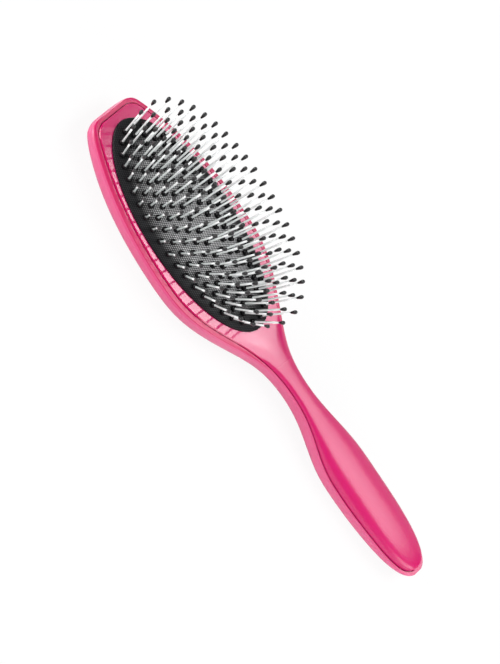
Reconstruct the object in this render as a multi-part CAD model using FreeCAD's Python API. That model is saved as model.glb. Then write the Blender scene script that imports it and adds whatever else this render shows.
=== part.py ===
"""Cushion paddle brush: two-piece plastic body, rubber pad clamped by a ring, and rings of
nylon pins with ball tips.  Units are millimetres.  The brush lies on its back: +Z points the
way the pins point, +Y towards the end of the head, X across the head.
Run from the build folder; one STEP file per piece goes to parts/."""
import FreeCAD
import Part
import math
import os

from FreeCAD import Vector

os.makedirs("parts", exist_ok=True)

# ---- overall layout ---------------------------------------------------------------
FACE_HEIGHT = 14.0          # face of the head above the surface the brush rests on
HEAD_END = 59.2             # end of the head, from the middle of the head
HEAD_FORM_END = -42.0       # the head's flat face ends and the handle's crown begins
HANDLE_FORM_START = -72.0   # the handle's crown is fully formed
GRIP_CENTRE = -125.0        # thickest part of the handle
GRIP_END_LENGTH = 48.6      # from there to the end of the handle
GRIP_END_POWER = 2.9        # 2 for an elliptical end in plan, more for a blunter one
GRIP_BELLY_POWER = 1.9      # the same for the belly seen from the side

# ---- plan of the body, half widths of the front piece -----------------------------
HEAD_WIDEST_Y = -10.0
HEAD_HALF = 25.3
HEAD_END_HALF = 9.9
HEAD_TAPER_POWER = 2.3
HEAD_CORNER = 3.8
HEAD_TAIL_POWER = 1.15      # above 1 the head narrows sooner towards the handle
NECK_Y = -83.0
NECK_HALF = 4.1
GRIP_START_Y = -120.0
GRIP_HALF = 10.3

# ---- depths, measured from the face of the head ------------------------------------
PLATE_THICK = 1.6           # front piece around the pad
NECK_DEPTH = 9.6
PARTING_NECK = -1.0         # edge of the front piece along the handle
PARTING_GRIP = -4.6
PARTING_END = -3.6
NECK_EDGE_RUN = (-45.0, -70.0)      # the edge passes from the head's level to the neck's
GRIP_EDGE_RUN = (-92.0, -122.0)
END_EDGE_RUN = (-130.0, -150.0)
BACK_RISE_RUN = (-30.0, -80.0)      # the back rises from the head to the neck
CROWN_NECK = 1.0            # top of the handle's crown
CROWN_GRIP = 1.9
EDGE_DROP = 0.45            # rounded edge of the front piece on the head
GROOVE = 0.35               # shadow line between the front piece and the back shell
LIP_HEAD = 2.6              # back shell stands out beyond the front piece
LIP_GRIP = 0.7
HEAD_END_ROUND = 34.0       # the back curves up over this length at the end of the head
HEAD_END_DEPTH = 6.5
FRONT_INSET = 2.0           # front piece stops short of both ends of the back shell
FOOT_CUT = 0.12             # skimmed off the back to leave flat places to lie on

# ---- pad, clamp ring and air chamber -----------------------------------------------
PAD_END_MARGIN = 6.0        # from the pad to the end of the head
PAD_SIDE_MARGIN = 3.0       # from the pad to the side of the front piece
PAD_BACK = -49.4            # end of the pad towards the handle
PAD_THICK = 1.3
PAD_TOP = 5.6               # crown of the pad above the face
PAD_SIDE_RADIUS = 56.0      # curvature across
PAD_LONG_RADIUS = 290.0     # curvature along
PAD_FIT = 0.1               # pad in the opening of the front piece
FLANGE_WIDE = 1.5
FLANGE_THICK = 1.2
FLANGE_FIT = 0.05
RING_THICK = 1.4
RING_FIT = 0.2
CHAMBER_INSET = 0.6         # lower chamber inside the pad's outline
CHAMBER_FLOOR = -10.5

# ---- inside of the handle ----------------------------------------------------------
WALL = 2.2
CAVITY_ENDS = (-74.0, -158.0)
PEG_PLACES = (-66.0, -98.0, -124.0, -148.0)
PEG_R = 1.5
PEG_LONG = 3.4
PEG_FIT = 0.1
BOSS_R = 2.9

# ---- pins ----------------------------------------------------------------------------
RING_COUNT = 5              # closed rings of pins, one inside the other
RING_INSET = 3.8            # outer ring inside the pad's outline
RING_STEP = 4.1
PIN_PITCH = 5.85            # spacing along the sides of a ring
PIN_END_CROWDING = 0.2      # pins stand closer by this share at the ends of a ring
SIDES = 6
SHAFT_R = 0.46
SHAFT_TOP = 18.0            # end of the nylon, from the pad's surface
FOOT_R = 0.85
FOOT_TOP = -1.5
FOOT_WIDE = -1.9
HOLE_FIT = 0.1
COLLAR_R = 1.2
COLLAR_TOP = 1.5
COLLAR_ROOT = -0.6
TIP_R = 0.84
TIP_NOSE_R = 0.52
TIP_WIDE = 20.4
TIP_END = 21.4
LEAN_SIDE = 0.51            # outward lean at the sides and ends of the pad, in radians
LEAN_LONG = 0.25
UPRIGHT_Y = -8.0            # pins stand square to the face here

PAD_LONG = (HEAD_END - PAD_END_MARGIN - PAD_BACK) / 2.0
PAD_Y = PAD_BACK + PAD_LONG
PAD_WIDE = HEAD_HALF - PAD_SIDE_MARGIN
LENGTH = HEAD_END - GRIP_CENTRE + GRIP_END_LENGTH
PLACE = Vector(0, LENGTH / 2.0 - HEAD_END, FACE_HEIGHT)


def save(name, shape):
    """Write one piece, moved from the head's own frame to the brush's frame."""
    placed = shape.copy()
    placed.translate(PLACE)
    placed.exportStep("parts/" + name + ".step")


def ease(value, start, end):
    """0 at start, 1 at end, with flat ends."""
    t = min(1.0, max(0.0, (value - start) / (end - start)))
    return t * t * t * (10.0 - 15.0 * t + 6.0 * t * t)


def ease_soft(value, start, end):
    t = min(1.0, max(0.0, (value - start) / (end - start)))
    return t * t * (3.0 - 2.0 * t)


def end_round(y, inset=0.0, power=GRIP_END_POWER):
    """1 along the grip, 0 at the very end of the handle."""
    u = max(0.0, (GRIP_CENTRE - y) / (GRIP_END_LENGTH - inset))
    return max(0.0, 1.0 - u ** power) ** (1.0 / power)


def half_width(y, inset=0.0):
    """Half width of the front piece; inset moves both ends inwards."""
    if y > HEAD_WIDEST_Y:
        u = (y - HEAD_WIDEST_Y) / (HEAD_END - HEAD_WIDEST_Y)
        width = HEAD_HALF - (HEAD_HALF - HEAD_END_HALF) * u ** HEAD_TAPER_POWER
        into = max(0.0, y - (HEAD_END - inset - HEAD_CORNER)) / HEAD_CORNER
        return width - HEAD_CORNER * (1.0 - math.sqrt(max(0.0, 1.0 - into * into)))
    if y > NECK_Y:
        return NECK_HALF + (HEAD_HALF - NECK_HALF) * ease(y, NECK_Y - 2.0, HEAD_WIDEST_Y) ** HEAD_TAIL_POWER
    if y > GRIP_CENTRE:
        return NECK_HALF + (GRIP_HALF - NECK_HALF) * ease_soft(y, NECK_Y, GRIP_START_Y)
    return GRIP_HALF * end_round(y, inset)


def on_handle(y):
    """0 on the head, 1 on the handle."""
    return ease(y, HEAD_FORM_END, HANDLE_FORM_START)


def parting(y):
    """Level of the visible edge between the two body pieces."""
    level = -EDGE_DROP + (PARTING_NECK + EDGE_DROP) * ease(y, *NECK_EDGE_RUN)
    level += (PARTING_GRIP - PARTING_NECK) * ease_soft(y, *GRIP_EDGE_RUN)
    return level + (PARTING_END - PARTING_GRIP) * ease_soft(y, *END_EDGE_RUN)


def crown(y):
    """Top of the front piece."""
    top = CROWN_NECK * on_handle(y) + (CROWN_GRIP - CROWN_NECK) * ease_soft(y, NECK_Y, GRIP_START_Y)
    return parting(y) + (top - parting(y)) * (0.2 + 0.8 * end_round(y, FRONT_INSET) ** 0.8)


def bottom(y):
    """Lowest level of the back shell, before the foot is cut flat."""
    deep = FACE_HEIGHT + FOOT_CUT
    low = -deep + (deep - NECK_DEPTH) * ease_soft(y, *BACK_RISE_RUN)
    if y < NECK_Y:
        low = -NECK_DEPTH - (deep - NECK_DEPTH) * ease_soft(y, NECK_Y, GRIP_START_Y)
        low = parting(y) + (low - parting(y)) * end_round(y, 0.0, GRIP_BELLY_POWER)
    into = max(0.0, y - (HEAD_END - HEAD_END_ROUND)) / HEAD_END_ROUND
    rise = deep - HEAD_END_DEPTH
    return low + rise * (1.0 - math.sqrt(max(0.0, 1.0 - into * into * 0.98)))


def lip(y):
    return (LIP_HEAD + (LIP_GRIP - LIP_HEAD) * on_handle(y)) * (0.35 + 0.65 * end_round(y))


def stations(inset=0.0):
    """Section positions from the end of the head to the end of the handle."""
    corner = [90, 62, 35, 12]
    places = [HEAD_END - inset - HEAD_CORNER * (1.0 - math.sin(math.radians(a))) for a in corner]
    places += [52.0, 47.0, 38.0, 28.0, 16.0, 4.0, -8.0]
    places += [-18.0 - 8.0 * i for i in range(14)]
    length = GRIP_END_LENGTH - inset
    places += [GRIP_CENTRE - length * math.sin(math.radians(a)) for a in (10, 25, 40, 52, 64, 74, 82, 87)]
    return places


def clamped(count, degree):
    """Knots and multiplicities of an evenly spaced curve that starts and ends on its poles."""
    spans = count - degree
    return [degree + 1] + [1] * (spans - 1) + [degree + 1], [k / spans for k in range(spans + 1)]


def net_curve(poles):
    degree = min(3, len(poles) - 1)
    mults, knots = clamped(len(poles), degree)
    curve = Part.BSplineCurve()
    curve.buildFromPolesMultsKnots(poles, mults, knots, False, degree)
    return curve


def net_surface(rows):
    """Smooth skin over one side of every section in turn."""
    u_degree = min(3, len(rows[0]) - 1)
    u_mults, u_knots = clamped(len(rows[0]), u_degree)
    v_mults, v_knots = clamped(len(rows), 3)
    skin = Part.BSplineSurface()
    poles = [[row[i] for row in rows] for i in range(len(rows[0]))]
    skin.buildFromPolesMultsKnots(poles, u_mults, v_mults, u_knots, v_knots, False, False, u_degree, 3)
    return skin.toShape()


def skinned(sections):
    """Solid whose sides pass smoothly from section to section; a section is a loop of sides."""
    faces = []
    for side in range(len(sections[0])):
        faces.append(net_surface([section[side] for section in sections]))
    for section in (sections[0], sections[-1]):
        faces.append(Part.Face(Part.Wire([net_curve(side).toShape() for side in section])))
    shell = Part.Shell(faces)
    shell.sewShape()
    solid = Part.Solid(shell)
    if solid.Volume < 0:
        solid.reverse()
    return solid


def mirrored(points):
    return [Vector(-p.x, p.y, p.z) for p in reversed(points)]


def front_section(y, inset, grow=0.0, lift=0.0):
    """Sides of the front piece at one station; grow widens it for its seat."""
    w = half_width(y, inset) + grow
    edge = parting(y) + lift
    top = crown(y) + lift
    seat = parting(y) - (PLATE_THICK - EDGE_DROP)
    handle = on_handle(y)
    shoulder = w - min(EDGE_DROP, 0.4 * w) * (1.0 - 0.9 * handle)
    rounding = (top - edge - EDGE_DROP) * handle
    right = [(0.45 + 0.20 * handle, 0.01), (0.84 + 0.14 * handle, 0.42), (1.0, 1.0)]
    flank = [Vector(reach * shoulder, y, top - share * rounding) for reach, share in right]
    crest = mirrored(flank) + [Vector(0, y, top + 0.06 * rounding)] + flank
    corner = [crest[-1], Vector(w, y, edge)]
    side = [corner[-1], Vector(w, y, seat)]
    under = [side[-1], Vector(-w, y, seat)]
    return [crest, corner, side, under, mirrored(side), mirrored(corner)]


def back_section(y):
    """Sides of the back shell at one station."""
    stand = lip(y)
    outer = half_width(y) + GROOVE + stand
    inner = outer - 1.35 * stand - 0.2
    top = parting(y) - 0.1
    low = bottom(y)
    tall = top - low
    reach = outer * (0.58 + 0.14 * on_handle(y))
    rim = [Vector(inner, y, top), Vector(outer - 0.75 * stand, y, top)]
    bevel = [rim[-1], Vector(outer - 0.3 * stand, y, top - 0.025 * tall)]
    side = [bevel[-1], Vector(outer - 0.02 * stand, y, top - 0.12 * tall)]
    right = [side[-1], Vector(outer + 0.07 * stand, y, top - 0.36 * tall)]
    right += [Vector(0.97 * outer, y, top - 0.68 * tall), Vector(outer - 0.5 * reach, y, low)]
    right += [Vector(outer - reach, y, low)]
    base = [right[-1], Vector(-right[-1].x, y, low)]
    across = [Vector(-inner, y, top), Vector(inner, y, top)]
    near = [rim, bevel, side, right]
    return [across] + near + [base] + [mirrored(line) for line in reversed(near)]


def cavity_section(y):
    """Sides of the half-round hollow in the handle of the back shell."""
    wide = half_width(y) - WALL
    top = parting(y) + 1.0
    low = bottom(y) + WALL
    right = [Vector(wide, y, top), Vector(wide, y, 0.4 * top + 0.6 * low), Vector(0.6 * wide, y, low)]
    right += [Vector(0, y, low)]
    return [[Vector(-wide, y, top), Vector(wide, y, top)], right, mirrored(right)]


def oval(grow, low, high):
    """Upright elliptical block on the pad's outline, larger by grow."""
    curve = Part.Ellipse(Vector(0, 0, 0), PAD_LONG + grow, PAD_WIDE + grow)
    face = Part.Face(Part.Wire([curve.toShape()]))
    face.rotate(Vector(0, 0, 0), Vector(0, 0, 1), 90)
    face.translate(Vector(0, PAD_Y, low))
    return face.extrude(Vector(0, 0, high - low))


def dome(shrink):
    """Solid whose top is the pad's crowned surface, lowered by shrink."""
    ring = Part.makeTorus(PAD_LONG_RADIUS - PAD_SIDE_RADIUS, PAD_SIDE_RADIUS - shrink)
    ring.rotate(Vector(0, 0, 0), Vector(0, 1, 0), 90)
    ring.translate(Vector(0, PAD_Y, PAD_TOP - PAD_LONG_RADIUS))
    return ring


def dome_height(x, y):
    """Level of the pad's surface."""
    across = PAD_SIDE_RADIUS - math.sqrt(PAD_SIDE_RADIUS ** 2 - x * x)
    reach = PAD_LONG_RADIUS - across
    return PAD_TOP - (PAD_LONG_RADIUS - math.sqrt(reach ** 2 - (y - PAD_Y) ** 2))


def ring_positions(ring):
    """Evenly spaced points on one ring, staggered by half a pitch from ring to ring."""
    inset = RING_INSET + RING_STEP * ring
    along = PAD_LONG - inset
    across = PAD_WIDE - inset
    steps = 720
    travel = [0.0]
    for i in range(steps):
        a = 2 * math.pi * i / steps
        b = 2 * math.pi * (i + 1) / steps
        dx = across * (math.sin(b) - math.sin(a))
        dy = along * (math.cos(b) - math.cos(a))
        crowding = 1.0 + PIN_END_CROWDING * math.cos(a) ** 2
        travel.append(travel[-1] + math.hypot(dx, dy) * crowding)
    count = 2 * round(travel[-1] / PIN_PITCH / 2.0)
    points = []
    for k in range(count):
        wanted = travel[-1] * ((0.25 + (k + 0.5 * ((ring + 1) % 2)) / count) % 1.0)
        i = next(n for n, s in enumerate(travel) if s >= wanted)
        a = 2 * math.pi * i / steps
        points.append((across * math.sin(a), PAD_Y + along * math.cos(a)))
    return points


def lean(x, y):
    """Direction a pin points at its place on the pad."""
    side = LEAN_SIDE * math.sin(math.pi / 2 * x / PAD_WIDE)
    ahead = LEAN_LONG * math.sin(math.pi / 2 * (y - UPRIGHT_Y) / (PAD_LONG + abs(UPRIGHT_Y)))
    return Vector(math.tan(side), math.tan(ahead), 1.0).normalize()


def stem(x, y, rings):
    """Six-sided turned shape along a pin's axis; rings are (distance, radius) pairs."""
    axis = lean(x, y)
    start = Vector(x, y, dome_height(x, y))
    side = axis.cross(Vector(0, 1, 0)).normalize()
    ahead = axis.cross(side)
    loops = []
    for distance, radius in rings:
        centre = start + axis * distance
        loop = []
        for k in range(SIDES):
            a = 2 * math.pi * k / SIDES
            loop.append(centre + side * (radius * math.cos(a)) + ahead * (radius * math.sin(a)))
        loops.append(loop)
    faces = [Part.Face(Part.makePolygon(loops[0] + [loops[0][0]]))]
    faces.append(Part.Face(Part.makePolygon(loops[-1] + [loops[-1][0]])))
    for lower, upper in zip(loops, loops[1:]):
        for k in range(SIDES):
            n = (k + 1) % SIDES
            corners = [lower[k], lower[n], upper[n], upper[k], lower[k]]
            faces.append(Part.Face(Part.makePolygon(corners)))
    solid = Part.Solid(Part.Shell(faces))
    solid.fixTolerance(1e-6)
    if solid.Volume < 0:
        solid.reverse()
    return solid


# ---- body ----------------------------------------------------------------------------
SEAT = -PLATE_THICK
FLANGE_LOW = SEAT - FLANGE_FIT - FLANGE_THICK
RING_LOW = FLANGE_LOW - RING_THICK

front_block = skinned([front_section(y, FRONT_INSET) for y in stations(FRONT_INSET)])
seat_inset = FRONT_INSET - GROOVE
seat_block = skinned([front_section(y, seat_inset, GROOVE, 3.0) for y in stations(seat_inset)])
back_block = skinned([back_section(y) for y in stations()])
below = Vector(-HEAD_HALF * 2.0, HEAD_END - LENGTH * 1.5, -FACE_HEIGHT * 2.0)
back_block = back_block.cut(Part.makeBox(HEAD_HALF * 4.0, LENGTH * 2.0, FACE_HEIGHT, below))

cavity_steps = 9
cavity_run = CAVITY_ENDS[1] - CAVITY_ENDS[0]
cavity_places = [CAVITY_ENDS[0] + cavity_run * i / (cavity_steps - 1) for i in range(cavity_steps)]
cavity = skinned([cavity_section(y) for y in cavity_places])

front_shell = front_block.cut(oval(PAD_FIT, SEAT - 2.0, 4.0))

back_shell = back_block.cut(cavity)
for peg_y in PEG_PLACES:
    peg_top = parting(peg_y) - (PLATE_THICK - EDGE_DROP)
    boss_low = bottom(peg_y) + 1.0
    boss = Part.makeCylinder(BOSS_R, peg_top + 0.5 - boss_low, Vector(0, peg_y, boss_low))
    back_shell = back_shell.fuse(boss)
    front_shell = front_shell.fuse(Part.makeCylinder(PEG_R, PEG_LONG + 0.3, Vector(0, peg_y, peg_top - PEG_LONG)))
back_shell = back_shell.cut(seat_block)
back_shell = back_shell.cut(oval(FLANGE_WIDE + RING_FIT, RING_LOW, 2.0))
back_shell = back_shell.cut(oval(-CHAMBER_INSET, CHAMBER_FLOOR, 2.0))
for peg_y in PEG_PLACES:
    peg_top = parting(peg_y) - (PLATE_THICK - EDGE_DROP)
    socket = Part.makeCylinder(PEG_R + PEG_FIT, PEG_LONG + 1.0, Vector(0, peg_y, peg_top - PEG_LONG - 0.4))
    back_shell = back_shell.cut(socket)

save("front_shell", front_shell)
save("back_shell", back_shell)

# ---- clamp ring ------------------------------------------------------------------------
ring = oval(FLANGE_WIDE - 0.1, RING_LOW, FLANGE_LOW).cut(oval(-PAD_THICK, RING_LOW - 1.0, 0.0))
save("pad_clamp_ring", ring)

# ---- pins, tips, and the pad with its collars ---------------------------------------------
holes = []
collars = []
bore = SHAFT_R + HOLE_FIT
for ring_number in range(RING_COUNT):
    halves = {"_left": ([], []), "_right": ([], [])}
    if ring_number == RING_COUNT - 1:
        halves = {"": ([], [])}
    for px, py in ring_positions(ring_number):
        half = "" if "" in halves else ("_left" if px < -0.01 else "_right")
        pins, tips = halves[half]
        pins.append(stem(px, py, [(FOOT_WIDE, FOOT_R), (FOOT_TOP, SHAFT_R), (SHAFT_TOP, SHAFT_R)]))
        tips.append(stem(px, py, [(SHAFT_TOP, SHAFT_R), (TIP_WIDE, TIP_R), (TIP_END, TIP_NOSE_R)]))
        holes.append(stem(px, py, [(FOOT_WIDE - 1.0, bore), (COLLAR_TOP + 1.0, bore)]))
        collars.append(stem(px, py, [(COLLAR_ROOT, COLLAR_R), (COLLAR_TOP, bore + 0.15)]))
    for half, (pins, tips) in halves.items():
        save("pins_ring_" + str(ring_number + 1) + half, Part.makeCompound(pins))
        save("tips_ring_" + str(ring_number + 1) + half, Part.makeCompound(tips))

pad = oval(0.0, FLANGE_LOW, PAD_TOP + 1.0).common(dome(0.0))
pad = pad.fuse(oval(FLANGE_WIDE, FLANGE_LOW, SEAT - FLANGE_FIT))
pad = pad.cut(oval(-PAD_THICK, FLANGE_LOW - 1.0, PAD_TOP).common(dome(PAD_THICK)))
pad = pad.multiFuse(collars)
pad = pad.cut(Part.makeCompound(holes))
save("pad", pad)
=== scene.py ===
"""Cushion paddle brush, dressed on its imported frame: moulded shells, rubber pad, pins and ball tips."""
import math

import bmesh
import bpy
from bpy.props import FloatProperty, FloatVectorProperty, PointerProperty
from mathutils import Matrix, Vector


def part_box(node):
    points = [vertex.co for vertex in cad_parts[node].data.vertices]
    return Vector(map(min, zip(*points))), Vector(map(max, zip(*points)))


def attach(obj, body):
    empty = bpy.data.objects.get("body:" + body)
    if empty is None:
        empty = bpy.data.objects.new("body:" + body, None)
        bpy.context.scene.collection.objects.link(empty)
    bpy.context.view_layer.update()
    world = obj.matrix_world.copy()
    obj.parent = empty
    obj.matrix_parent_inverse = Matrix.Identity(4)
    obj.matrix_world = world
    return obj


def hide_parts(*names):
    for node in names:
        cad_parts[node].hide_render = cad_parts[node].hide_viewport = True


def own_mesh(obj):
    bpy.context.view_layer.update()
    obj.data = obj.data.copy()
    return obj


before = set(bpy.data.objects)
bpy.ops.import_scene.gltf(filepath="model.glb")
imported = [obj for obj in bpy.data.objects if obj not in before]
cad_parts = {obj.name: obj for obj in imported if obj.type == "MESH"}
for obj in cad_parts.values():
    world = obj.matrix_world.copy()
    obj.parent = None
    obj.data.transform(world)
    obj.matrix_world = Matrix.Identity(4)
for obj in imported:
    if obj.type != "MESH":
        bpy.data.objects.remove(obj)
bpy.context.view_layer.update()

bl_info = {
    "name": "Cushion Paddle Brush",
    "version": (1, 0, 0),
    "blender": (4, 5, 0),
    "location": "View3D > Sidebar > Brush",
    "description": "Builds the pad, pins, ball tips and finishes of a cushion paddle brush",
    "category": "Object",
}

MM = 0.001
BODY = "body_shells"
RINGS = range(1, 6)
PACKED_PIN_SIDES = 6
PIN_SIDES = 12
TURNED_SIDES = 14

# The pad: rows of its mesh, its rolled edge as (inset, drop), the first drop into its hollow, and the inset
# up to which its outline shrinks evenly.
PAD_SIDES = 144
DOME_ROWS = 26
HOLLOW_ROWS = 12
ROW_SPACING = 0.8
ROLLED_EDGE = 0.45 * MM
EDGE_ROLL = ((0.16 * MM, 0.10 * MM), (0.03 * MM, 0.32 * MM))
HOLLOW_DROP = 0.5 * MM
EVEN_INSET = 0.5 * MM

# A pin's foot, as depths below the rubber's surface, and the stretch of pin inside its tip.
FOOT_END = 1.9 * MM
FOOT_EDGE = 1.6 * MM
FOOT_TOP = 1.45 * MM
TIP_OVERLAP = 0.15 * MM

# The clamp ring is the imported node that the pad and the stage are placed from.
FLANGE_THICKNESS = 1.2 * MM
RING_TOP_TO_FACE = 2.85 * MM
RING_TO_HEAD_CENTRE = Vector((0.0, -1.9 * MM, 4.25 * MM))

# The stage: the camera's own right and up directions, and places measured from the head's centre.
VIEW_RIGHT = Vector((0.620, -0.550, 0.560))
VIEW_UP = Vector((0.545, 0.815, 0.196))
VIEW_TARGET = Vector((-8.5, -47.0, 4.8)) * MM
SENSOR_WIDTH = 36.0
PANEL_SPOT = Vector((-18.0, 2.0, 0.0)) * MM
PANEL_DISTANCE = 0.45
PANEL_SIZE = (0.107, 0.034)
MAIN_PLACE = Vector((0.31, -0.315, 0.9))
MAIN_SIZE = (0.86, 0.45)
FACING_BOXES = (  # name, place, size, and the setting that holds its brightness
    ("side_box", Vector((1.0, -0.25, 0.42)), (0.9, 0.5), "side_light"),
    ("head_fill", Vector((-0.38, 0.80, 0.28)), (0.8, 0.6), "head_light"),
    ("handle_fill", Vector((-0.38, -0.90, 0.28)), (0.8, 0.6), "handle_light"))
FLOOR_SIZE = 4.0
FLOOR_DROP = 0.2 * MM

# Turned outlines: (distance along the pin, radius), in the unit that each comment gives.
COLLAR = (  # millimetres from the rubber's surface
    (-0.5, 1.1), (0.0, 1.3), (0.5, 1.38), (1.0, 1.34), (1.5, 1.12), (1.85, 0.78), (2.0, 0.48))
TIP = (  # shares of the tip's length and largest radius
    (0.0, 0.44), (0.08, 0.56), (0.25, 0.68), (0.45, 0.86), (0.62, 0.98), (0.74, 1.0),
    (0.85, 0.9), (0.93, 0.68), (0.98, 0.38), (1.0, 0.1))


# ---- settings -----------------------------------------------------------------------
class BrushShellSettings(bpy.types.PropertyGroup):
    plastic: FloatVectorProperty(
        name="Face plastic", description="Colour of the front piece", subtype="COLOR", size=3,
        min=0, max=1, default=(0.53, 0.006, 0.122))
    # Painted sheen: the back shell's paler pink stands for the whitish reflection along its side wall.
    band: FloatVectorProperty(
        name="Band plastic", description="Colour of the back shell", subtype="COLOR", size=3,
        min=0, max=1, default=(0.63, 0.096, 0.232))
    # Painted shade: this darker, more saturated pink paints the shade along the crease between the shells on
    # the head; a random cloud also mixes it in everywhere as real colour variation.
    deep: FloatVectorProperty(
        name="Deep plastic", description="Colour where the plastic is thick and saturated", subtype="COLOR",
        size=3, min=0, max=1, default=(0.52, 0.003, 0.095))
    # The face level, rim level and edge depth place the painted crease shade on the head.
    face_level: FloatProperty(
        name="Face level", description="Just below the head's face, where its edge begins", unit="LENGTH",
        default=13.95 * MM)
    rim_level: FloatProperty(
        name="Rim level", description="The back shell takes the deep colour above this level on the head",
        unit="LENGTH", default=12.7 * MM)
    edge_depth: FloatProperty(
        name="Edge depth", description="Depth over which the edge takes the deep colour", unit="LENGTH",
        default=0.2 * MM)
    handle_from: FloatProperty(
        name="Handle from", description="Where the polished face gives way to the handle's softer gloss",
        unit="LENGTH", default=4.0 * MM)
    handle_blend: FloatProperty(
        name="Handle blend", description="Length over which the gloss changes", unit="LENGTH",
        default=18.0 * MM)
    ring: FloatVectorProperty(
        name="Clamp ring", description="Colour of the hidden clamp ring", subtype="COLOR", size=3,
        min=0, max=1, default=(0.045, 0.045, 0.05))


class BrushPadSettings(bpy.types.PropertyGroup):
    half_length: FloatProperty(
        name="Half length", description="Pad's half length", unit="LENGTH", default=51.3 * MM)
    half_width: FloatProperty(
        name="Half width", description="Pad's half width", unit="LENGTH", default=22.3 * MM)
    flange: FloatProperty(
        name="Flange", description="Width of the hidden clamped flange", unit="LENGTH", default=1.5 * MM)
    crown: FloatProperty(
        name="Crown", description="Height of the pad's middle above the face", unit="LENGTH",
        default=5.6 * MM)
    side_radius: FloatProperty(
        name="Side radius", description="Curvature across the pad", unit="LENGTH", default=56.0 * MM)
    long_radius: FloatProperty(
        name="Long radius", description="Curvature along the pad", unit="LENGTH", default=290.0 * MM)
    thickness: FloatProperty(
        name="Thickness", description="Thickness of the rubber", unit="LENGTH", default=1.3 * MM)
    weave_pitch: FloatProperty(
        name="Weave pitch", description="Spacing of the moulded cross-hatch", unit="LENGTH",
        default=0.74 * MM)
    rubber: FloatVectorProperty(
        name="Rubber", description="Colour of the smooth rubber", subtype="COLOR", size=3, min=0, max=1,
        default=(0.004, 0.004, 0.005))
    # Painted sheen: the raised grain's pale grey stands for the soft light reflected by the grained middle of
    # black rubber.
    thread: FloatVectorProperty(
        name="Raised grain", description="Colour of the raised grain in the middle", subtype="COLOR", size=3,
        min=0, max=1, default=(0.80, 0.80, 0.81))


class BrushPinSettings(bpy.types.PropertyGroup):
    shaft_top: FloatProperty(
        name="Shaft top", description="End of the nylon above the pad", unit="LENGTH", default=18.0 * MM)
    shaft_radius: FloatProperty(
        name="Shaft radius", description="Radius of a pin", unit="LENGTH", default=0.46 * MM)
    tip_radius: FloatProperty(
        name="Tip radius", description="Largest radius of a ball tip", unit="LENGTH", default=0.86 * MM)
    tip_end: FloatProperty(
        name="Tip end", description="End of the ball tip above the pad", unit="LENGTH", default=21.4 * MM)
    nylon: FloatVectorProperty(
        name="Nylon", description="Colour of the pins", subtype="COLOR", size=3, min=0, max=1,
        default=(0.94, 0.95, 0.95))
    # Painted shade: the pins' greyer edges stand for the light that the nylon bends away at its sides.
    nylon_edge: FloatVectorProperty(
        name="Nylon edge", description="Colour along the edges of the pins", subtype="COLOR", size=3, min=0,
        max=1, default=(0.30, 0.38, 0.36))
    ball: FloatVectorProperty(
        name="Ball tip", description="Colour of the ball tips", subtype="COLOR", size=3, min=0, max=1,
        default=(0.012, 0.012, 0.013))


class BrushStageSettings(bpy.types.PropertyGroup):
    lens: FloatProperty(name="Lens", description="Camera lens in millimetres", default=200.0)
    view_height: FloatProperty(
        name="View height", description="Height of the view at the brush", unit="LENGTH", default=0.271)
    ambient: FloatProperty(name="Ambient", description="Strength of the surrounding light", default=0.20)
    top_light: FloatProperty(
        name="Main light", description="Brightness of the wide box above and to the right", default=6.4)
    side_light: FloatProperty(
        name="Side light", description="Brightness of the box on the right", default=1.0)
    head_light: FloatProperty(
        name="Head light", description="Brightness of the box beyond the head", default=7.2)
    handle_light: FloatProperty(
        name="Handle light", description="Brightness of the box beyond the handle", default=4.7)
    panel_light: FloatProperty(
        name="Panel light", description="Brightness of the panel mirrored in the face", default=4.6)
    floor_white: FloatProperty(
        name="Floor white", description="How far the floor is lifted to plain white for the camera",
        subtype="FACTOR", min=0, max=1, default=0.90)


# ---- shader expressions ---------------------------------------------------------------
class Num:
    """A number that changes over a surface; sums and products of it add Math nodes."""

    def __init__(self, look, socket):
        self.look = look
        self.socket = socket

    def math(self, operation, *others):
        values = [self] + list(others)
        return self.look.node("ShaderNodeMath", {"operation": operation}, dict(enumerate(values)))

    def __add__(self, other):
        return self.math("ADD", other)

    def __sub__(self, other):
        return self.math("SUBTRACT", other)

    def __rsub__(self, other):
        return self.look.node("ShaderNodeMath", {"operation": "SUBTRACT"}, {0: other, 1: self})

    def __mul__(self, other):
        return self.math("MULTIPLY", other)

    def __truediv__(self, other):
        return self.math("DIVIDE", other)

    def __pow__(self, other):
        return self.math("POWER", other)

    __radd__ = __add__
    __rmul__ = __mul__

    def clamp(self):
        return self.look.node("ShaderNodeClamp", {}, {0: self})


class Look:
    """One node material; socket values are given by name or number."""

    def __init__(self, owner):
        owner.use_nodes = True
        self.tree = owner.node_tree
        self.tree.nodes.clear()

    def node(self, kind, settings, inputs, output=0):
        made = self.tree.nodes.new(kind)
        for key, value in settings.items():
            setattr(made, key, value)
        for key, value in inputs.items():
            socket = made.inputs[key]
            if isinstance(value, Num):
                self.tree.links.new(value.socket, socket)
            elif hasattr(socket.default_value, "__len__") and len(value) < len(socket.default_value):
                socket.default_value = (*value, 1.0)
            else:
                socket.default_value = value
        return Num(self, made.outputs[output]) if len(made.outputs) else made

    def place(self):
        return self.node("ShaderNodeTexCoord", {}, {}, "Object")

    def scaled(self, vector, scale):
        return self.node("ShaderNodeVectorMath", {"operation": "MULTIPLY"}, {0: vector, 1: scale})

    def noise(self, vector, scale, detail=2.0):
        return self.node("ShaderNodeTexNoise", {}, {"Vector": vector, "Scale": scale, "Detail": detail})

    def split(self, vector, axis):
        return self.node("ShaderNodeSeparateXYZ", {}, {0: vector}, axis)

    def mix(self, factor, low, high):
        return self.node("ShaderNodeMix", {"data_type": "RGBA"}, {0: factor, 6: low, 7: high}, 2)

    def bump(self, height, strength, distance):
        return self.node("ShaderNodeBump", {}, {"Height": height, "Strength": strength, "Distance": distance})

    def finish(self, sockets):
        surface = self.node("ShaderNodeBsdfPrincipled", {}, sockets)
        self.node("ShaderNodeOutputMaterial", {}, {"Surface": surface})


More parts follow.
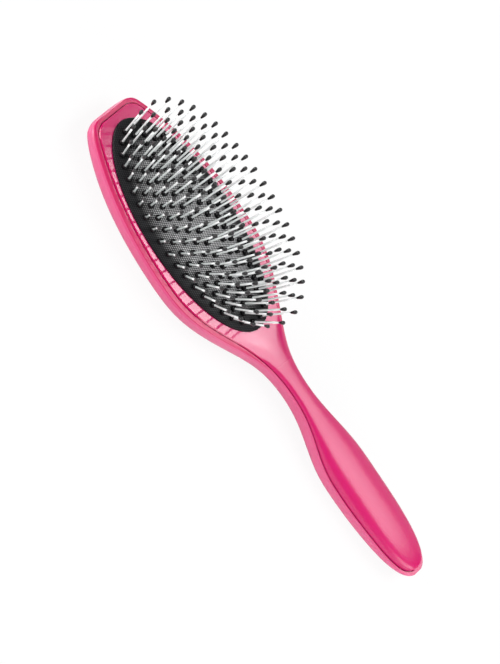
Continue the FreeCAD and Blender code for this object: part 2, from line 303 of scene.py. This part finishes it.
def moulded_plastic(name, colour, settings, polish, satin, crease_shade_from, crease_shade_run):
    """Pink plastic with one gloss on the head and another on the handle.

    On the head the colour takes a painted crease shade: darker below the given starting height, or above it
    where the given run is negative.
    """
    material = bpy.data.materials.new(name)
    look = Look(material)
    place = look.place()
    cloud = look.noise(place, 22.0, 2.0)
    flow = look.noise(look.scaled(place, (260.0, 60.0, 260.0)), 1.0, 3.0)
    grain = look.noise(place, 1500.0, 2.0)
    handle = ((settings.handle_from - look.split(place, 1)) / settings.handle_blend).clamp()
    # Painted crease shade: a mask that darkens the head's edge next to the crease between the shells.
    edge = ((crease_shade_from - look.split(place, 2)) / crease_shade_run).clamp() * (1.0 - handle)
    look.finish({
        "Base Color": look.mix((0.4 * cloud + 0.9 * edge).clamp(), colour, tuple(settings.deep)),
        "Roughness": polish + (satin - polish) * handle + 0.04 * flow,
        "IOR": 1.52,
        "Coat Weight": 0.03,
        "Coat Roughness": 0.05,
        "Subsurface Weight": 0.2,
        "Subsurface Radius": (0.003, 0.0004, 0.0008),
        "Subsurface Scale": 0.5,
        "Normal": look.bump(grain + 0.6 * flow, 0.04, 0.0001),
    })
    return material


def plain_plastic(name, colour, roughness, gloss=0.5):
    """Plain moulded plastic or rubber with a fine grain."""
    material = bpy.data.materials.new(name)
    look = Look(material)
    place = look.place()
    spots = look.noise(place, 900.0, 3.0)
    darker = tuple(0.7 * part for part in colour)
    look.finish({
        "Base Color": look.mix(spots, colour, darker),
        "Roughness": roughness + 0.12 * spots,
        "Specular IOR Level": gloss,
        "Normal": look.bump(spots, 0.15, 0.0001),
    })
    return material


def ribbed_rubber(name, settings, centre_y):
    """Black rubber: smooth margin and a fine cross-hatched middle; the cross-hatch is moulded, its pale grey,
    strongest in the middle, is painted sheen.
    """
    material = bpy.data.materials.new(name)
    look = Look(material)
    place = look.place()
    x = look.split(place, 0)
    y = look.split(place, 1) - centre_y
    out = ((x / settings.half_width) ** 2.0 + (y / settings.half_length) ** 2.0) ** 0.5
    # The middle mask marks the cross-hatched area inside the smooth margin and also paints a sheen that grows
    # towards the middle.
    middle = 0.04 + 0.96 * ((0.86 - out) * 3.2).clamp()
    turn = 2.0 * math.pi / settings.weave_pitch
    across, along = 0.5, 0.866
    warp = ((x * across + y * along) * turn).math("SINE")
    weft = ((x * across - y * along) * turn).math("SINE")
    weave = (0.5 + 0.25 * (warp + weft)).clamp()
    dust = look.noise(place, 420.0, 3.0)
    # Painted sheen: the grain is mixed towards a pale grey that stands for reflected soft light; the dust
    # noise varies it at random.
    grain_and_sheen = (1.9 * middle * weave ** 2.6 * (0.35 + 0.9 * dust)).clamp()
    look.finish({
        "Base Color": look.mix(grain_and_sheen, settings.rubber, settings.thread),
        "Roughness": 0.28 + 0.16 * middle + 0.08 * dust,
        "Specular IOR Level": 0.07,
        "Normal": look.bump(middle * weave + 0.15 * dust, 0.55, 0.00012),
    })
    return material


def clear_nylon(name, colour, edge):
    """Milky nylon with painted shade that darkens it towards the edges facing away from the view, where real
    nylon bends the light away.
    """
    material = bpy.data.materials.new(name)
    look = Look(material)
    place = look.place()
    haze = look.noise(place, 700.0, 2.0)
    rim = look.node("ShaderNodeLayerWeight", {}, {"Blend": 0.5}, 1)
    # Painted shade: darker towards the edges that turn away from the view, plus a faint random haze.
    shade = (rim ** 3.0 + 0.08 * haze).clamp()
    look.finish({
        "Base Color": look.mix(shade, colour, edge),
        "Roughness": 0.16 + 0.1 * haze,
        "IOR": 1.5,
        "Subsurface Weight": 0.35,
        "Subsurface Radius": (0.001, 0.001, 0.001),
        "Subsurface Scale": 0.5,
        "Coat Weight": 0.3,
        "Coat Roughness": 0.1,
        "Normal": look.bump(haze, 0.05, 0.0001),
    })
    return material


def white_paper(name, lift):
    """White paper, lifted towards plain white for the camera alone."""
    material = bpy.data.materials.new(name)
    look = Look(material)
    fibre = look.noise(look.place(), 40.0, 2.0)
    paper = look.node("ShaderNodeBsdfPrincipled", {}, {
        "Base Color": look.mix(fibre, (0.82, 0.82, 0.82), (0.86, 0.86, 0.86)),
        "Roughness": 0.9,
        "Specular IOR Level": 0.1,
    })
    glow = look.node("ShaderNodeEmission", {}, {"Color": (1, 1, 1), "Strength": 1.0})
    seen = look.node("ShaderNodeLightPath", {}, {}, "Is Camera Ray")
    surface = look.node("ShaderNodeMixShader", {}, {0: seen * lift, 1: paper, 2: glow})
    look.node("ShaderNodeOutputMaterial", {}, {"Surface": surface})
    return material


# ---- shapes ---------------------------------------------------------------------------
def dress(node, material):
    """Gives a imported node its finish."""
    piece = bpy.data.objects[node]
    if not piece.material_slots:
        piece.data.materials.append(material)
    for slot in piece.material_slots:
        slot.material = material


def ring_nodes(kind, ring):
    """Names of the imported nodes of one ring."""
    start = kind + "_ring_" + str(ring)
    return [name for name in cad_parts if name.startswith(start)]


def separate_forms(name):
    """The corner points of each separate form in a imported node's mesh."""
    mesh = bmesh.new()
    mesh.from_mesh(bpy.data.objects[name].data)
    bmesh.ops.remove_doubles(mesh, verts=mesh.verts, dist=1e-6)
    waiting = set(mesh.verts)
    forms = []
    while waiting:
        form = []
        reached = [waiting.pop()]
        while reached:
            vert = reached.pop()
            form.append(vert.co.copy())
            for link in vert.link_edges:
                other = link.other_vert(vert)
                if other in waiting:
                    waiting.remove(other)
                    reached.append(other)
        forms.append(form)
    mesh.free()
    return forms


def pin_axes(ring, settings):
    """Where each pin of a ring stands on the pad, and which way it points."""
    axes = []
    for name in ring_nodes("pins", ring):
        for form in separate_forms(name):
            form.sort(key=lambda point: point.z)
            top_points = form[-PACKED_PIN_SIDES:]
            low_points = form[:-PACKED_PIN_SIDES]
            top = sum(top_points, Vector()) / len(top_points)
            low = sum(low_points, Vector()) / len(low_points)
            axis = (top - low).normalized()
            axes.append((top - axis * settings.shaft_top, axis))
    axes.sort(key=lambda pair: (round(pair[0].y, 6), round(pair[0].x, 6)))
    return axes


def turn_on(mesh, start, axis, profile, sides, material_index=0):
    """Adds a turned form along axis; profile is (distance, radius) pairs."""
    across = axis.orthogonal().normalized()
    ahead = axis.cross(across)
    rows = []
    for distance, radius in profile:
        row = []
        for k in range(sides):
            angle = 2 * math.pi * k / sides
            spread = across * math.cos(angle) + ahead * math.sin(angle)
            row.append(mesh.verts.new(start + axis * distance + spread * radius))
        rows.append(row)
    for low, high in zip(rows, rows[1:]):
        for k in range(sides):
            n = (k + 1) % sides
            mesh.faces.new((low[k], low[n], high[n], high[k])).material_index = material_index
    mesh.faces.new(list(reversed(rows[0]))).material_index = material_index
    mesh.faces.new(rows[-1]).material_index = material_index


def dome_height(pad, face, x, y, sunk=0.0):
    """Height of the crowned rubber over a point, or of its hollow side where sunk is its thickness."""
    radius = pad.side_radius - sunk
    reach = pad.long_radius - pad.side_radius + math.sqrt(radius * radius - x * x)
    return face + pad.crown - pad.long_radius + math.sqrt(reach * reach - y * y)


def pad_sections(pad, face, flange_low):
    """The pad's ovals from its crown over rim and flange into the hollow, as (inset, surface, level)."""
    flange_top = flange_low + FLANGE_THICKNESS
    span = pad.half_width - ROLLED_EDGE
    sections = [(ROLLED_EDGE + span * (1 - (k / DOME_ROWS) ** ROW_SPACING), "dome", 0.0)
                for k in range(1, DOME_ROWS + 1)]
    sections += [(inset, "dome", drop) for inset, drop in EDGE_ROLL]
    sections += [(0.0, "level", face), (0.0, "level", flange_top), (-pad.flange, "level", flange_top)]
    sections += [(-pad.flange, "level", flange_low), (pad.thickness, "level", flange_low)]
    sections += [(pad.thickness, "hollow", HOLLOW_DROP)]
    span = pad.half_width - pad.thickness
    sections += [(pad.thickness + span * (k / HOLLOW_ROWS), "hollow", 0.0) for k in range(1, HOLLOW_ROWS)]
    return sections


def pad_skin(pad, centre_y, flange_low):
    """The closed skin of the rubber pad, without its collars."""
    face = flange_low + RING_TOP_TO_FACE
    mesh = bmesh.new()
    rows = []
    for inset, surface, level in pad_sections(pad, face, flange_low):
        wide = pad.half_width - inset
        long = pad.half_length - inset
        if inset > EVEN_INSET:
            long = pad.half_length * (1 - inset / pad.half_width)
        row = []
        for k in range(PAD_SIDES):
            angle = 2 * math.pi * k / PAD_SIDES
            x = wide * math.sin(angle)
            y = long * math.cos(angle)
            z = level
            if surface == "dome":
                z = dome_height(pad, face, x, y) - level
            elif surface == "hollow":
                z = dome_height(pad, face, x, y, pad.thickness) - level
            row.append(mesh.verts.new((x, centre_y + y, z)))
        rows.append(row)
    for inner, outer in zip(rows, rows[1:]):
        for k in range(PAD_SIDES):
            n = (k + 1) % PAD_SIDES
            mesh.faces.new((inner[k], inner[n], outer[n], outer[k]))
    for row, sunk in ((rows[0], 0.0), (rows[-1], pad.thickness)):
        middle = mesh.verts.new((0, centre_y, dome_height(pad, face, 0, 0, sunk)))
        for k in range(PAD_SIDES):
            mesh.faces.new((row[k], row[(k + 1) % PAD_SIDES], middle))
    return mesh


def make_piece(name, mesh, *materials):
    """Turns a finished bmesh into a smooth piece in the scene."""
    bmesh.ops.recalc_face_normals(mesh, faces=mesh.faces)
    data = bpy.data.meshes.new(name)
    mesh.to_mesh(data)
    mesh.free()
    for material in materials:
        data.materials.append(material)
    data.shade_smooth()
    piece = bpy.data.objects.new(name, data)
    bpy.context.scene.collection.objects.link(piece)
    return piece


def pale_studio(name, level):
    """A world that the camera sees plain white and that lights the brush at a lower level."""
    world = bpy.data.worlds.new(name)
    look = Look(world)
    seen = look.node("ShaderNodeLightPath", {}, {}, "Is Camera Ray")
    around = look.node("ShaderNodeBackground", {}, {"Color": (1, 1, 1), "Strength": level})
    white = look.node("ShaderNodeBackground", {}, {"Color": (1, 1, 1), "Strength": 1.0})
    both = look.node("ShaderNodeMixShader", {}, {0: seen, 1: around, 2: white})
    look.node("ShaderNodeOutputWorld", {}, {"Surface": both})
    return world


def add_lamp(name, place, target, size, level):
    """A flat soft box of the given size and brightness that faces target."""
    data = bpy.data.lights.new(name, "AREA")
    data.shape = "RECTANGLE"
    data.size, data.size_y = size
    data.energy = level * math.pi * size[0] * size[1]
    lamp = bpy.data.objects.new(name, data)
    bpy.context.scene.collection.objects.link(lamp)
    lamp.location = place
    lamp.rotation_euler = (target - place).to_track_quat("-Z", "Y").to_euler()


# ---- operators -------------------------------------------------------------------------
class HAIRBRUSH_OT_shells(bpy.types.Operator):
    """Finish the two moulded shells and the hidden clamp ring"""

    bl_idname = "hairbrush.shells"
    bl_label = "Shells"

    def execute(self, context):
        settings = context.scene.brush_shells
        # The face takes the painted crease shade below the face level on the head.
        face = moulded_plastic(
            "polished_face", tuple(settings.plastic), settings, polish=0.09, satin=0.30,
            crease_shade_from=settings.face_level, crease_shade_run=settings.edge_depth)
        # The back shell's paler pink is painted sheen; above the rim level on the head it also takes the
        # painted crease shade.
        back = moulded_plastic(
            "satin_back", tuple(settings.band), settings, polish=0.28, satin=0.32,
            crease_shade_from=settings.rim_level, crease_shade_run=-settings.edge_depth)
        dress("front_shell", face)
        dress("back_shell", back)
        dress("pad_clamp_ring", plain_plastic("clamp_ring", tuple(settings.ring), roughness=0.5))
        return {"FINISHED"}


class HAIRBRUSH_OT_pad(bpy.types.Operator):
    """Build the crowned rubber pad with a collar at every pin"""

    bl_idname = "hairbrush.pad"
    bl_label = "Rubber pad"

    def execute(self, context):
        pad = context.scene.brush_pad
        pins = context.scene.brush_pins
        low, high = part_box("pad_clamp_ring")
        centre_y = 0.5 * (low[1] + high[1])
        flange_low = high[2]
        mesh = pad_skin(pad, centre_y, flange_low)
        collar = [(distance * MM, radius * MM) for distance, radius in COLLAR]
        for ring in RINGS:
            for start, axis in pin_axes(ring, pins):
                turn_on(mesh, start, axis, collar, TURNED_SIDES, 1)
        grained = ribbed_rubber("grained_rubber", pad, centre_y)
        glossy = plain_plastic("collar_rubber", tuple(pad.rubber), roughness=0.10, gloss=0.2)
        piece = make_piece("rubber_pad", mesh, grained, glossy)
        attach(piece, BODY)
        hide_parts("pad")
        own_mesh(piece)
        return {"FINISHED"}


class HAIRBRUSH_OT_pins(bpy.types.Operator):
    """Build the round nylon pins of every ring"""

    bl_idname = "hairbrush.pins"
    bl_label = "Nylon pins"

    def execute(self, context):
        settings = context.scene.brush_pins
        material = clear_nylon("clear_nylon", tuple(settings.nylon), tuple(settings.nylon_edge))
        thin = settings.shaft_radius
        top = settings.shaft_top
        profile = [(-FOOT_END, 1.8 * thin), (-FOOT_EDGE, 1.7 * thin), (-FOOT_TOP, 1.05 * thin)]
        profile += [(0.0, 1.05 * thin), (0.3 * top, thin), (0.7 * top, 0.94 * thin), (top, 0.88 * thin)]
        for ring in RINGS:
            mesh = bmesh.new()
            for start, axis in pin_axes(ring, settings):
                turn_on(mesh, start, axis, profile, PIN_SIDES)
            piece = make_piece("nylon_pins_" + str(ring), mesh, material)
            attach(piece, "pin_ring_" + str(ring))
            piece.visible_glossy = ring == 1  # the face mirrors only the outer ring, as separate lines
            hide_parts(*ring_nodes("pins", ring))
        return {"FINISHED"}


class HAIRBRUSH_OT_tips(bpy.types.Operator):
    """Build the drop-shaped ball tips of every ring"""

    bl_idname = "hairbrush.tips"
    bl_label = "Ball tips"

    def execute(self, context):
        settings = context.scene.brush_pins
        material = plain_plastic("ball_tip", tuple(settings.ball), roughness=0.26)
        start_at = settings.shaft_top - TIP_OVERLAP
        length = settings.tip_end - start_at
        wide = settings.tip_radius
        profile = [(start_at + length * share, wide * radius) for share, radius in TIP]
        for ring in RINGS:
            mesh = bmesh.new()
            for start, axis in pin_axes(ring, settings):
                turn_on(mesh, start, axis, profile, TURNED_SIDES)
            piece = make_piece("ball_tips_" + str(ring), mesh, material)
            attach(piece, "pin_ring_" + str(ring))
            piece.visible_glossy = False
            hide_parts(*ring_nodes("tips", ring))
        return {"FINISHED"}


class HAIRBRUSH_OT_stage(bpy.types.Operator):
    """Build the pale floor, the soft lights and the camera"""

    bl_idname = "hairbrush.stage"
    bl_label = "Stage"

    def execute(self, context):
        settings = context.scene.brush_stage
        low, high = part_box("pad_clamp_ring")
        head = Vector((0.0, 0.5 * (low[1] + high[1]), low[2])) + RING_TO_HEAD_CENTRE

        bpy.ops.mesh.primitive_plane_add(size=FLOOR_SIZE, location=(0, 0, -FLOOR_DROP))
        floor = context.object
        floor.name = "floor"
        floor.data.materials.append(white_paper("floor_paper", settings.floor_white))
        context.scene.world = pale_studio("studio", settings.ambient)

        right = VIEW_RIGHT.normalized()
        up = VIEW_UP.normalized()
        back = right.cross(up).normalized()
        up = back.cross(right)
        distance = settings.view_height * settings.lens / SENSOR_WIDTH
        camera_at = head + VIEW_TARGET + back * distance

        # The small panel stands where the strip of face beside the pad mirrors it.
        spot = head + PANEL_SPOT
        seen_from = (camera_at - spot).normalized()
        mirror = Vector((-seen_from.x, -seen_from.y, seen_from.z))
        add_lamp("face_panel", spot + mirror * PANEL_DISTANCE, spot, PANEL_SIZE, settings.panel_light)
        main = head + MAIN_PLACE
        add_lamp("main_box", main, main - Vector((0, 0, 1)), MAIN_SIZE, settings.top_light)
        for name, place, size, setting in FACING_BOXES:
            add_lamp(name, head + place, head, size, getattr(settings, setting))

        camera_data = bpy.data.cameras.new("view")
        camera_data.lens = settings.lens
        camera_data.sensor_width = SENSOR_WIDTH
        camera_data.clip_end = 20.0
        camera = bpy.data.objects.new("view", camera_data)
        context.scene.collection.objects.link(camera)
        axes = Matrix((right, up, back)).transposed().to_4x4()
        camera.matrix_world = Matrix.Translation(camera_at) @ axes
        context.scene.camera = camera
        context.scene.view_settings.view_transform = "Standard"
        return {"FINISHED"}


class HAIRBRUSH_PT_panel(bpy.types.Panel):
    """Lists the brush's pieces in the sidebar"""

    bl_idname = "HAIRBRUSH_PT_panel"
    bl_label = "Cushion Paddle Brush"
    bl_space_type = "VIEW_3D"
    bl_region_type = "UI"
    bl_category = "Brush"

    def draw(self, context):
        for operator, group in STEPS:
            box = self.layout.box()
            box.operator(operator.bl_idname)
            settings = getattr(context.scene, group)
            for name in settings.__annotations__:
                box.prop(settings, name)


STEPS = (
    (HAIRBRUSH_OT_stage, "brush_stage"),
    (HAIRBRUSH_OT_shells, "brush_shells"),
    (HAIRBRUSH_OT_pad, "brush_pad"),
    (HAIRBRUSH_OT_pins, "brush_pins"),
    (HAIRBRUSH_OT_tips, "brush_pins"),
)
GROUPS = {
    "brush_stage": BrushStageSettings,
    "brush_shells": BrushShellSettings,
    "brush_pad": BrushPadSettings,
    "brush_pins": BrushPinSettings,
}


def register():
    for name, group in GROUPS.items():
        bpy.utils.register_class(group)
        setattr(bpy.types.Scene, name, PointerProperty(type=group))
    for operator, group in STEPS:
        bpy.utils.register_class(operator)
    bpy.utils.register_class(HAIRBRUSH_PT_panel)


def unregister():
    bpy.utils.unregister_class(HAIRBRUSH_PT_panel)
    for operator, group in reversed(STEPS):
        bpy.utils.unregister_class(operator)
    for name, group in GROUPS.items():
        delattr(bpy.types.Scene, name)
        bpy.utils.unregister_class(group)


def main():
    register()
    bpy.ops.hairbrush.stage()
    bpy.ops.hairbrush.shells()
    bpy.ops.hairbrush.pad()
    bpy.ops.hairbrush.pins()
    bpy.ops.hairbrush.tips()
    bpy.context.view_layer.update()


if __name__ == "__main__":
    main()
